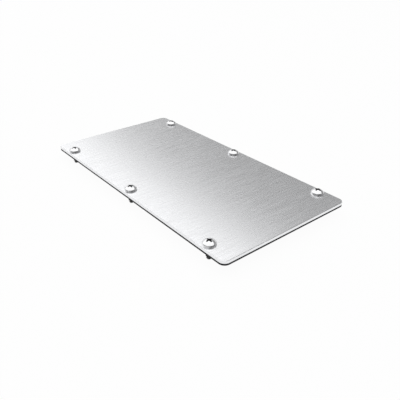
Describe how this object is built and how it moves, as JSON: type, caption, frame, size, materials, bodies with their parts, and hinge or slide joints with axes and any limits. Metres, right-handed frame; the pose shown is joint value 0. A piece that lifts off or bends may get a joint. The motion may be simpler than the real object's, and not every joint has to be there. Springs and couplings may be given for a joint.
{
  "type": "rectangular cover plate",
  "caption": "Flat rectangular cover plate with rounded corners, a rubber gasket under its rim and pan-head tapping screws along both long edges.",
  "frame": {"origin": "middle of the screw pattern on the mounting plane, which is the underside of the gasket", "axes": "+X along the long edges, +Y across the width, +Z out of the covered surface; the screws point to -Z"},
  "size_m": [0.193, 0.1, 0.0122],
  "materials": {
    "brushed_sheet": "brushed across the width",
    "gasket_rubber": "matt black, die cut",
    "screw_steel": "plain stainless, satin"
  },
  "bodies": {
    "root": {"cover_plate": "brushed_sheet", "gasket": "gasket_rubber", "cover_screws": "screw_steel"}
  },
  "joints": []
}
